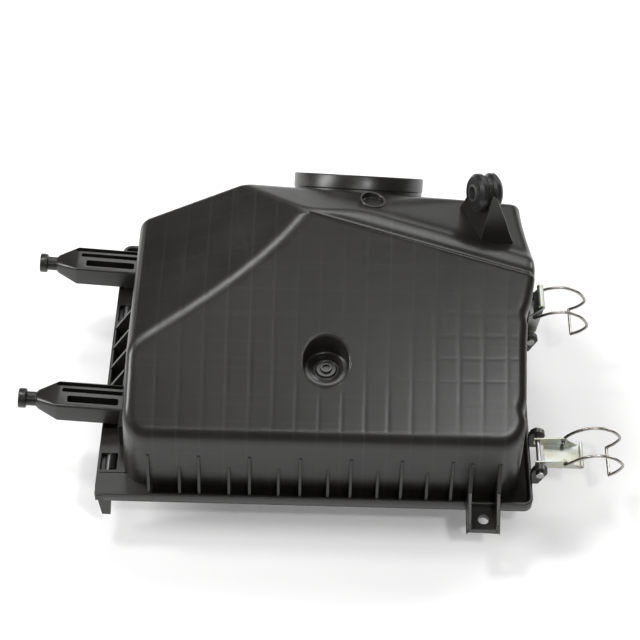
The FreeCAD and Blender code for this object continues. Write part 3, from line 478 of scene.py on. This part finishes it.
def sink_marks(p):
    """Shallow grooves in a square net on the main face, the left slope and the walls."""
    def groove(value):
        cell = np.abs((value / SINK_PITCH) % 1.0 - 0.5)
        return smooth(0.40, 0.5, cell)

    wobble = 0.8 * np.sin(p[:, 0] / 37.0) + 0.8 * np.sin(p[:, 1] / 29.0 + 1.0)
    x_net = groove(p[:, 0] + wobble)
    y_net = 0.22 * groove(p[:, 1] / math.cos(SLOPE) + wobble)
    z_net = groove(p[:, 2] + wobble)
    from_pocket = np.hypot(p[:, 0] - POCKET[0], p[:, 1] - POCKET[1])
    on_top = smooth(-9.0, -2.0, np.maximum(MAIN(p), LEFT_SLOPE(p)))
    calm = 1.0 - smooth(-6.0, -1.0, np.maximum(REAR_SLOPE(p), BACK_SLOPE(p)))
    top = np.maximum(x_net, y_net) * on_top * calm * smooth(17.5, 24.0, from_pocket)
    side_x = smooth(-6.0, -1.0, np.maximum(LEFT(p), RIGHT(p)))
    side_y = smooth(-6.0, -1.0, np.maximum(FRONT(p), REAR(p)))
    on_sides = np.maximum(y_net, z_net) * side_x
    on_ends = np.maximum(x_net, z_net) * side_y
    walls = np.maximum(on_sides, on_ends) * (1.0 - on_top)
    patchy = 0.65 + 0.35 * np.sin(p[:, 0] / 23.0) * np.sin(p[:, 1] / 19.0 + 0.7)
    return SINK_DEPTH * (top + 0.8 * walls) * patchy


def dome_shape(p):
    """Distance outside the dome's plain shape: flat faces, the bead and rounded edges."""
    left = left_slope(p)
    front_top = round_max(CREASE_ROUND, MAIN(p), left)
    behind = round_max(BEHIND_ROUND, left, REAR_SLOPE(p) - ridge_bead(p))
    rear_top = round_max(BACK_ROUND, behind, BACK_SLOPE(p), COLLAR_FACE(p), CORNER_FACE(p))
    top = round_max(RIDGE_ROUND, front_top, rear_top)
    walls = round_max(CORNER_ROUND, LEFT(p), right_wall(p), FRONT(p), REAR(p))
    return round_max(EDGE_ROUND, top, walls)


def dome_skin(p):
    """Distance outside the dome with its sink marks."""
    return dome_shape(p) + sink_marks(p)


def leaving(start, directions, shape):
    """Where rays from a point inside the dome leave its shape, found by halving."""
    near = np.full(len(directions), 10.0)
    far = np.full(len(directions), 260.0)
    for _ in range(26):
        middle = (near + far) / 2
        outside = shape(start + directions * middle[:, None]) > 0
        far = np.where(outside, middle, far)
        near = np.where(outside, near, middle)
    return start + directions * ((near + far) / 2)[:, None]


def units(rows):
    return rows / np.linalg.norm(rows, axis=1)[:, None]


def rows_towards_crease(length, step):
    """Fractions from 0 to 1 whose spacing shrinks towards 1, for a stretch of that length."""
    gaps = [0.4 * step]
    while sum(gaps) < length:
        gaps.append(min(step, gaps[-1] * 1.12))
    marks = np.concatenate([[0.0], np.cumsum(gaps[::-1])])
    return marks / marks[-1]


def skin_points(step, bottom):
    """A net over the dome: a patch over the top whose border runs on down the walls to the bottom."""
    level = 112.0
    xs = np.linspace(-119.0, 122.0, round(236 / step) + 1)
    crease = [EYE + (np.array(end) - EYE) * (level - EYE[2]) / (end.z - EYE[2])
              for end in (APEX, RIDGE_END)]
    slope = (crease[1][1] - crease[0][1]) / (crease[1][0] - crease[0][0])
    bend = crease[0][1] + slope * np.maximum(xs - crease[0][0], 0.0)
    front = -91.0 + (bend + 91.0)[:, None] * rows_towards_crease(bend.max() + 91.0, step)
    rear = 89.0 - (89.0 - bend)[:, None] * rows_towards_crease(89.0 - bend.min(), step)[::-1]
    grid_y = np.concatenate([front, rear[:, 1:]], 1)
    nx, ny = len(xs) - 1, grid_y.shape[1] - 1
    grid_x = np.repeat(xs[:, None], ny + 1, 1)
    roof = units(np.stack([grid_x.ravel(), grid_y.ravel(), np.full(grid_x.size, level)], 1) - EYE)
    index = np.arange(grid_x.size).reshape(nx + 1, ny + 1)
    border = np.concatenate([index[:-1, 0], index[-1, :-1], index[:0:-1, -1], index[0, :0:-1]])
    edge = roof[border]
    low = np.array((EYE[0], EYE[1], bottom))
    foot = units(leaving(low, units(edge * (1, 1, 0)), dome_shape) - EYE)
    rows = round(78.0 / step)
    vertices = [leaving(EYE, roof, dome_skin)]
    loops = [border]
    for n in range(1, rows + 1):
        t = n / rows
        vertices.append(leaving(EYE, units(edge * (1 - t) + foot * t), dome_skin))
        loops.append(np.arange(len(border)) + grid_x.size + (n - 1) * len(border))
    vertices[-1][:, 2] = bottom
    faces = np.stack([index[:-1, :-1].ravel(), index[1:, :-1].ravel(), index[1:, 1:].ravel(),
                      index[:-1, 1:].ravel()], 1).tolist()
    for above, below in zip(loops, loops[1:]):
        faces += np.stack([below, np.roll(below, -1), np.roll(above, -1), above], 1).tolist()
    return np.concatenate(vertices), faces


def dome_shell():
    """The dome as a shell of one wall thickness, with the pocket and the collar's bore cut out."""
    outer, outer_faces = skin_points(SKIN_STEP, BASE + 1.0)
    mesh = bpy.data.meshes.new("case_dome")
    mesh.from_pydata((outer * MM).tolist(), [], outer_faces)
    mesh.update()
    piece = finished("case_dome", mesh, "case_plastic", CASE, look="case_skin")
    thick = piece.modifiers.new("wall", "SOLIDIFY")
    thick.thickness = WALL * MM
    thick.offset = -1.0
    baked(piece)
    hole = Solids()
    mouth = POCKET_RADIUS + POCKET_ROUND
    hole.lathe(((0, mouth), (70, mouth)), (*POCKET, 100), (0, 0, 1))
    bore = Solids()
    bore.lathe(((-70, COLLAR_OUT - 1.0), (20, COLLAR_OUT - 1.0)), COLLAR_RIM, COLLAR_AXIS, 96)
    carve(piece, [hole.cutter("pocket_tool"), bore.cutter("bore_tool")])
    piece.data.polygons.foreach_set("use_smooth", [True] * len(piece.data.polygons))
    return piece


# ---------------------------------------------------------------- the case's features
def pocket_cup():
    """The round pocket: a rounded mouth on the sloped face, rings and a plug seat on its floor."""
    steps, arc = 96, 6
    radii = []
    for n in range(arc + 1):
        a = math.radians(90.0 * n / arc)
        radii.append((POCKET_RADIUS + POCKET_ROUND * (1 - math.sin(a)), POCKET_ROUND * (1 - math.cos(a))))
    inside, outside = [], []
    for radius, drop in radii:
        inside.append([(radius, drop)] * steps)
    rings = []
    lip = POCKET_RADIUS + POCKET_ROUND + 0.15
    back = POCKET_RADIUS + WALL

    def on_face(radius, a):
        y = POCKET[1] + radius * math.sin(a)
        return FRONT_EDGE[1] + math.tan(SLOPE) * (y - FRONT_EDGE[0])

    angles = [2 * math.pi * n / steps for n in range(steps)]

    def loop(radius, height):
        return [(POCKET[0] + radius * math.cos(a), POCKET[1] + radius * math.sin(a), height(radius, a))
                for a in angles]

    rings.append(loop(lip, lambda r, a: on_face(r, a) - 2.4))
    rings.append(loop(lip, lambda r, a: on_face(r, a) + 0.01))
    for radius, drop in radii:
        rings.append(loop(radius, lambda r, a, d=drop: on_face(r, a) - d * 1.15 + 0.01))
    floor_z = POCKET_FLOOR
    for radius, z in ((POCKET_RADIUS, floor_z + 1.2), (POCKET_RADIUS - 0.35, floor_z + 0.4),
                      (POCKET_RADIUS - 1.2, floor_z), (8.2, floor_z), (7.9, floor_z + 0.5),
                      (7.3, floor_z + 0.5),
                      (7.0, floor_z), (4.6, floor_z)):
        rings.append(loop(radius, lambda r, a, h=z: h))
    for radius, z in ((4.6, floor_z - WALL), (back - 1, floor_z - WALL), (back, floor_z - WALL + 1)):
        rings.append(loop(radius, lambda r, a, h=z: h))
    rings.append(loop(back, lambda r, a: on_face(r, a) - 3.4))
    cup = Solids().ring(rings)
    return finished("case_pocket", cup.mesh("case_pocket"), "case_plastic", CASE)


def strand(name, points, radius, slot, body, steps=10, replaces=()):
    """A round wire swept through a smooth line of points, its ends domed."""
    line = [Vector(p) for p in points]
    rings = []
    side = None
    for n, point in enumerate(line):
        ahead = (line[min(n + 1, len(line) - 1)] - line[max(n - 1, 0)]).normalized()
        side = ahead.orthogonal() if side is None else side - ahead * side.dot(ahead)
        side.normalize()
        other = ahead.cross(side)
        turns = (2 * math.pi * k / steps for k in range(steps))
        spokes = [side * math.cos(a) + other * math.sin(a) for a in turns]
        if n == 0:
            rings.append([point - ahead * radius * 0.6 + s * radius * 0.5 for s in spokes])
        rings.append([point + s * radius for s in spokes])
        if n == len(line) - 1:
            rings.append([point + ahead * radius * 0.6 + s * radius * 0.5 for s in spokes])
    return finished(name, Solids().loft(rings).mesh(name), slot, body, replaces=replaces)


def ridge_line():
    """The thin raised line that the mould leaves along the crease."""
    run = RIDGE_END - APEX
    ahead = run.normalized()
    points = [APEX + ahead * s + Vector((0, 0, -0.12)) for s in np.linspace(4.0, run.length - 0.5, 40)]
    return strand("case_ridge_line", points, 0.5, "case_plastic", CASE, 8)


def flange():
    """The flange plate with its raised rim, one section carried round a rounded rectangle."""
    def loop(inset_x0, inset_x1, inset_y, radius, z):
        return rounded_rectangle(RIM_LEFT + inset_x0, RIM_RIGHT - inset_x1, -RIM_HALF + inset_y,
                                 RIM_HALF - inset_y,
                                 radius, z)

    plate_top = BASE + 2.5
    edge = 0.6
    rings = [loop(0, 0, 0, 6, BASE + edge), loop(0, 0, 0, 6, RIM_TOP - edge),
             loop(edge * 0.3, edge * 0.3, edge * 0.3, 5.8, RIM_TOP - edge * 0.3),
             loop(edge, edge, edge, 5.4, RIM_TOP),
             loop(RIM_WALL - edge, RIM_WALL - edge, RIM_WALL - edge, 4.1, RIM_TOP),
             loop(RIM_WALL, RIM_WALL, RIM_WALL, 3.5, RIM_TOP - edge),
             loop(RIM_WALL, RIM_WALL, RIM_WALL, 3.5, plate_top + 0.8),
             loop(RIM_WALL + 0.8, RIM_WALL + 0.8, RIM_WALL + 0.8, 2.7, plate_top),
             loop(23.8, 18, 17.5, 1, plate_top), loop(23.8, 18, 17.5, 1, BASE),
             loop(edge, edge, edge, 5.4, BASE)]
    solids = Solids().ring(rings)
    return finished("case_flange", solids.mesh("case_flange"), "case_plastic", CASE)


def framed_block(solids, x, y, slot_x, slot_y, z):
    """A block with an upright slot through it, and round corners."""
    outer_low, outer_high = (rounded_rectangle(*x, *y, 1.2, h, 3) for h in z)
    inner_low, inner_high = (rounded_rectangle(*slot_x, *slot_y, 0.4, h, 3) for h in z)
    solids.ring([outer_low, outer_high, inner_high, inner_low])


def left_side():
    solids = Solids()
    high = RIM_TOP + 0.02
    for (y0, y1), (s0, s1) in (((-90, -55), (-88, -75)), ((30, 66), (36, 51))):
        framed_block(solids, (RIM_LEFT + 0.3, -122), (y0, y1), (-139.2, -128.4), (s0, s1),
                     (BASE - 0.02, high))
    solids.box((RIM_LEFT + 0.3, -104), (-RIM_HALF + 0.3, -90.5), (BASE + 0.4, high))
    # ledge along the wall, rounded on top
    section = [(-121.5, BASE + 1), (-128, BASE + 1), (-128, 60.2), (-127.4, 61.5), (-126.2, 62),
               (-121.5, 62)]
    solids.loft([[(x, y, z) for x, z in section] for y in (-68, 86)])
    for y in (-22.0, -4.5, 12.5, 30.0):
        solids.along([(-126, 61.6), (-128.2, 61.6), (RIM_LEFT + 1, RIM_TOP), (RIM_LEFT + 1, 35),
                      (-126, 35)], y - 1, 2)
    # foot at the front left corner
    solids.along([(RIM_LEFT + 1.5, RIM_TOP - 2), (RIM_LEFT + 3.5, BASE - 15), (RIM_LEFT + 9, BASE - 15),
                  (RIM_LEFT + 11, RIM_TOP - 2)], -RIM_HALF + 0.02, 2.5)
    return finished("case_left_ledge", solids.mesh("case_left_ledge"), "case_plastic", CASE, bevel=0.55)


def fins():
    """Triangular fins between the front wall and the rim, tall and short by turns."""
    solids = Solids()
    tall = [-106.0 + 32.0 * n for n in range(7)]
    short = [-86.5 + 31.4 * n for n in range(6)]
    for x in tall + short:
        top = RIM_TOP + (31 if x in tall else 20)
        solids.across([(-96, top), (-98.2, top), (-RIM_HALF + 1.5, RIM_TOP + 0.1), (-RIM_HALF + 1.5, 35.5),
                       (-96, 35.5)], x - 1, 2)
    return finished("case_fins", solids.mesh("case_fins"), "case_plastic", CASE, bevel=0.45)


TAB = (96.5, 117.0)
TAB_FRONT = -124.0


def tab():
    solids = Solids()
    solids.box((TAB[0], TAB[1]), (TAB_FRONT, -RIM_HALF + 1), (BASE, BASE + 4))
    for x in (TAB[0], TAB[1] - 2.5):
        solids.across([(-96, 72), (-98.5, 72), (-RIM_HALF, 54), (TAB_FRONT, 42), (TAB_FRONT, BASE),
                       (-96, BASE)], x, 2.5)
    piece = finished("bolt_tab_moulding", solids.mesh("bolt_tab_moulding"), "case_plastic", CASE,
                     replaces=("bolt_tab",))
    hole = Solids().lathe(((0, 3.5), (20, 3.5)), (107, -116, 28), (0, 0, 1), 48)
    carve(piece, [hole.cutter("tab_tool")])
    soften(piece, 0.5)
    return piece


def collar():
    """The outlet collar with a rounded mouth and a raised lip for the hose."""
    root = -62.0
    profile = [(root, COLLAR_OUT - 0.5), (-9.5, COLLAR_OUT - 0.5), (-9.0, COLLAR_OUT), (-0.9, COLLAR_OUT),
               (-0.25, COLLAR_OUT - 0.25), (0, COLLAR_OUT - 0.9), (0, COLLAR_IN + 0.9),
               (-0.25, COLLAR_IN + 0.25),
               (-0.9, COLLAR_IN), (-24, COLLAR_IN), (-24, COLLAR_OUT - 1.1), (root, COLLAR_OUT - 1.1)]
    profile = [(max(d, -40.0), r) for d, r in profile]
    solids = Solids().tube(profile, COLLAR_RIM, COLLAR_AXIS, 128)
    return finished("case_collar", solids.mesh("case_collar"), "case_plastic", CASE, bevel=0.2)


def ring_boss():
    foot = Vector((32.0, 51.1, 154.0)) - REAR_TOP * 9.0
    profile = [(0, 8.5), (8.2, 8.5), (8.8, 8.3), (9, 7.9), (9, 7.5), (8.8, 7.1), (8.2, 6.9), (5.4, 6.9),
               (4.9, 6.3),
               (4.8, 0.5), (0, 0.5)]
    solids = Solids().tube(profile, foot, REAR_TOP, 72)
    return finished("case_ring_boss", solids.mesh("case_ring_boss"), "case_plastic", CASE)


def ears():
    """Pairs of ears for the latch pins, on webs that run down the rim."""
    solids = Solids()
    for middle in (LATCHES["front"][0], LATCHES["rear"][0]):
        for offset in (-16.3, 12.8):
            y = middle + offset
            outline = [(RIM_RIGHT - 1, 36), (LATCH_X, 36), (LATCH_X + 5, LATCH_Z - 0.5)]
            outline += [(LATCH_X + 5 * math.cos(a), LATCH_Z + 5 * math.sin(a))
                        for a in (math.radians(d) for d in range(0, 181, 15))]
            outline.append((RIM_RIGHT - 1, LATCH_Z))
            solids.along(outline, y, 3.5)
    piece = finished("case_latch_ears", solids.mesh("case_latch_ears"), "case_plastic", CASE)
    soften(piece, 0.4)
    return piece


def peg(name, y):
    """A flat locating peg, grooved on top, with a tapered end, a neck and a round head."""
    tilt = math.radians(4.5)
    outward = Vector((-math.cos(tilt), 0, math.sin(tilt)))
    side = Vector((0, -1, 0))
    up = outward.cross(side)
    if up.z < 0:
        up = -up
    root = Vector((-123.0, y, 53.6)) * MM
    place = Matrix.Translation(root) @ Matrix((outward, side, up)).transposed().to_4x4()
    half_w, half_d, neck = 10.5, 8.0, 4.7

    def section(x, w, d, corner):
        return [(x, px, py) for px, py, _ in rounded_rectangle(-w, w, -d, d, corner, 0, 7)]

    def disc(x, radius):
        return section(x, radius, radius, radius - 0.001)

    solids = Solids()
    solids.loft([section(-1, half_w, half_d, 1.4), section(46, half_w, half_d, 1.4),
                 section(47, half_w - 0.2, half_d - 0.2, 1.6), section(59.0, 5.6, 5.4, 3.6),
                 disc(60.5, neck),
                 disc(66.4, neck), disc(66.8, 5.3), disc(66.9, 5.9), disc(67.4, 6.5), disc(71.3, 6.5),
                 disc(71.8, 6.3), disc(72, 5.8)], place)
    piece = finished(name, solids.mesh(name), "case_plastic", CASE)
    tools = []
    for start, end, low, high in ((3, 48, -9.2, -6.6), (3, 44, -4.6, -1.6), (7, 40, 1.4, 6.6)):
        tool = Solids()
        corner = min(1.2, (high - low) / 2 - 0.05)
        opening = rounded_rectangle(start, end, low, high, corner, 0, 4)
        tool.loft([[(p[0], p[1], h) for p in opening] for h in (half_d - 10.0, half_d + 3)], place)
        tools.append(tool.cutter(f"{name}_groove"))
    carve(piece, tools)
    soften(piece, 0.35)
    return piece


def loop(name, middle, turn, swing):
    """A latch's wire loop: two arched arms whose far ends turn back into a crossbar."""
    arm = smooth_line([(0, 0), (8, 7.8), (18.5, 12), (29.5, 9.8), (36.5, 3), (34.5, -3.5), (29.3, -8.8)], 7)
    pivot = Vector((16.5, 0, 1.0))
    lever = Matrix.Rotation(math.radians(turn), 4, "Y")
    own = Matrix.Rotation(math.radians(swing), 4, "Y")

    def moved(x, y, z):
        return Vector((LATCH_X, middle, LATCH_Z)) + lever @ (pivot + own @ Vector((x, y, z)))

    line = [moved(0, -6.5, 0), moved(0, -8.5, 0), moved(0, -10.2, 0)]
    line += [moved(x, -11.0 + 0.8 * max(0, 1 - n / 3), z) for n, (x, z) in enumerate(arm)][1:]
    bar_x, bar_z = arm[-1]
    line += [moved(bar_x, y, bar_z) for y in (-10.3, -8.5, -4, 0, 4, 8.5, 10.3)]
    line += [moved(x, 11.0 - 0.8 * max(0, 1 - n / 3), z) for n, (x, z) in enumerate(arm)][:0:-1]
    line += [moved(0, 10.2, 0), moved(0, 8.5, 0), moved(0, 6.5, 0)]
    return strand(f"latch_wire_{name}", line, 1.0, "bright_steel", f"{name}_loop", 12,
                  (f"latch_bail_{name}",))


def smooth_line(points, steps):
    """A smooth run through points in a plane, steps per stretch."""
    ends = [points[0], *points, points[-1]]
    line = []
    for a, b, c, d in zip(ends, ends[1:], ends[2:], ends[3:]):
        for n in range(steps):
            t = n / steps
            line.append(tuple(0.5 * (2 * q + (r - p) * t + (2 * p - 5 * q + 4 * r - s) * t * t
                                     + (3 * q - p - 3 * r + s) * t ** 3) for p, q, r, s in zip(a, b, c, d)))
    return [*line, points[-1]]


def bracket():
    """An upright plate that the bushing grips, stiffened by a tall web along its front edge."""
    axis = Vector((-0.925, -0.309, 0.222))
    axis = (axis - REAR_TOP * axis.dot(REAR_TOP)).normalized()
    side = REAR_TOP.cross(axis)
    centre = Vector((102.5, 44.2, 169.8))

    def facing(origin, first, third):
        turn = Matrix((first, REAR_TOP, third)).transposed().to_4x4()
        return Matrix.Translation(origin * MM) @ turn

    arc = [math.radians(d) for d in range(0, 181, 10)]
    outline = [(10.9 * math.cos(a), 10.9 * math.sin(a)) for a in arc]
    outline += [(-21, -27), (-21, -34), (13.5, -34), (13.5, -6), (12.4, -2.5)]
    solids = Solids().loft([[(u, v, w) for u, v in outline] for w in (0, 3)],
                           facing(centre - axis * 1.5, side, axis))
    run = (side * 0.218 - axis * 0.976).normalized()
    web = [(0, -7), (22, -7), (22, 0), (19.6, 4.2), (17.2, 8.4), (15.1, 12.2), (13.2, 16), (10.9, 19.7),
           (8.6, 23.4),
           (6.6, 26.8), (4.7, 29.8), (3.3, 32), (1.9, 33.5), (0.4, 34), (-0.4, 33.4), (-0.6, 32)]
    solids.loft([[(u, v, w) for u, v in web] for w in (0, 2.5)],
                facing(centre + side * 12.9 - REAR_TOP * 27.0 + axis * 1.5, run, run.cross(REAR_TOP)))
    piece = finished("bushing_bracket_moulding", solids.mesh("bushing_bracket_moulding"), "case_plastic",
                     CASE,
                     replaces=("bushing_bracket",))
    hole = Solids().lathe(((-20, 8.5), (20, 8.5)), centre, axis, 64)
    carve(piece, [hole.cutter("bracket_tool")])
    soften(piece, 0.5)
    return piece


LATCH_X, LATCH_Z = 143.5, 48.0
LATCHES = {"front": (-70.0, 0.0, 0.0), "rear": (40.0, -83.0, 95.5)}
SOFTENED = {"lower_cover": 0.5, "latch_lever_front": 0.25, "latch_lever_rear": 0.25,
            "port_plug": 0.2, "mount_sleeve": 0.2}

shell = dome_shell()
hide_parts("upper_case")
pocket_cup()
ridge_line()
flange()
left_side()
fins()
tab()
collar()
ring_boss()
ears()
peg("case_front_peg", -45.0)
peg("case_rear_peg", 73.0)
bracket()
for latch, (middle, turn, swing) in LATCHES.items():
    loop(latch, middle, turn, swing)
for node, width in SOFTENED.items():
    soften(frame["nodes"][node], width)


# ---------------------------------------------------------------- floor, light and camera
def floor():
    """A plain pale floor at the object's lowest point."""
    data = bpy.data.meshes.new("floor")
    half = 6.0
    corners = [(x * half, y * half, 0) for x, y in ((-1, -1), (1, -1), (1, 1), (-1, 1))]
    data.from_pydata(corners, [], [(0, 1, 2, 3)])
    ground = bpy.data.objects.new("floor", data)
    ground.location.z = cad_box[0].z
    scene.collection.objects.link(ground)
    look = Look("floor_paint")
    cloud = look.noise(3.0, 3.0)
    look.finish(look.mix(cloud, (0.90, 0.90, 0.90), (0.93, 0.93, 0.925)), 0.8,
                Emission_Color=(1.0, 1.0, 1.0, 1.0), Emission_Strength=0.12)
    data.materials.append(look.material)


def softbox(name, place, target, width, height, power):
    """A rectangular light at a place (metres), turned to a target."""
    data = bpy.data.lights.new(name, "AREA")
    data.shape = "RECTANGLE"
    data.size, data.size_y = width, height
    data.energy = power
    light = bpy.data.objects.new(name, data)
    light.location = place
    light.rotation_euler = (Vector(target) - Vector(place)).to_track_quat("-Z", "Y").to_euler()
    scene.collection.objects.link(light)


def studio():
    """White for the camera, dimmer for the object, so that the softboxes shape it."""
    world = bpy.data.worlds.new("studio")
    world.use_nodes = True
    tree = world.node_tree
    back = tree.nodes["Background"]
    path = tree.nodes.new("ShaderNodeLightPath")
    level = tree.nodes.new("ShaderNodeMapRange")
    level.inputs["To Min"].default_value = 0.10
    level.inputs["To Max"].default_value = 1.0
    tree.links.new(path.outputs["Is Camera Ray"], level.inputs["Value"])
    tree.links.new(level.outputs[0], back.inputs[1])
    back.inputs[0].default_value = (1.0, 1.0, 1.0, 1.0)
    scene.world = world
    aim = (0, 0, 0.09)
    softbox("over_edge", (-0.54, 0.26, 1.37), aim, 0.22, 0.22, 5.0)
    softbox("over_crest", (0.15, 0.9, 1.3), aim, 0.9, 0.6, 8.5)
    softbox("behind", (0.2, 1.5, 0.95), aim, 1.2, 0.35, 3.2)
    softbox("middle", (-0.1, -0.47, 1.345), aim, 0.45, 0.05, 0.42)
    softbox("near_corner", (0.36, -0.69, 1.235), aim, 0.1, 0.1, 3.6)
    softbox("high_front", (0.1, -1.25, 1.6), (0, -0.1, 0.1), 1.0, 0.08, 3.8)
    softbox("right_strip", (1.3, 0.9, 0.9), aim, 0.4, 0.9, 9.0)
    softbox("left_side", (-1.4, -0.2, 0.9), aim, 0.4, 0.8, 18.0)


def camera():
    """Level with the photograph's view: 50 degrees above the horizon, rolled a little."""
    elevation = math.radians(50.0)
    roll = math.radians(1.5)
    aim = Vector((0, -15, 110)) * MM
    back = Vector((0, -math.cos(elevation), math.sin(elevation)))
    right = Vector((0, 0, 1)).cross(back).normalized()
    up = back.cross(right)
    across = right * math.cos(roll) + up * math.sin(roll)
    above = up * math.cos(roll) - right * math.sin(roll)
    data = bpy.data.cameras.new("camera")
    data.lens = 100.0
    data.sensor_width = 36.0
    data.clip_start = 0.01
    data.clip_end = 50.0
    eye = bpy.data.objects.new("camera", data)
    turn = Matrix((across, above, back)).transposed().to_4x4()
    eye.matrix_world = Matrix.Translation(aim + back * 1.138) @ turn
    scene.collection.objects.link(eye)
    scene.camera = eye


floor()
studio()
camera()
scene.view_settings.view_transform = "Standard"
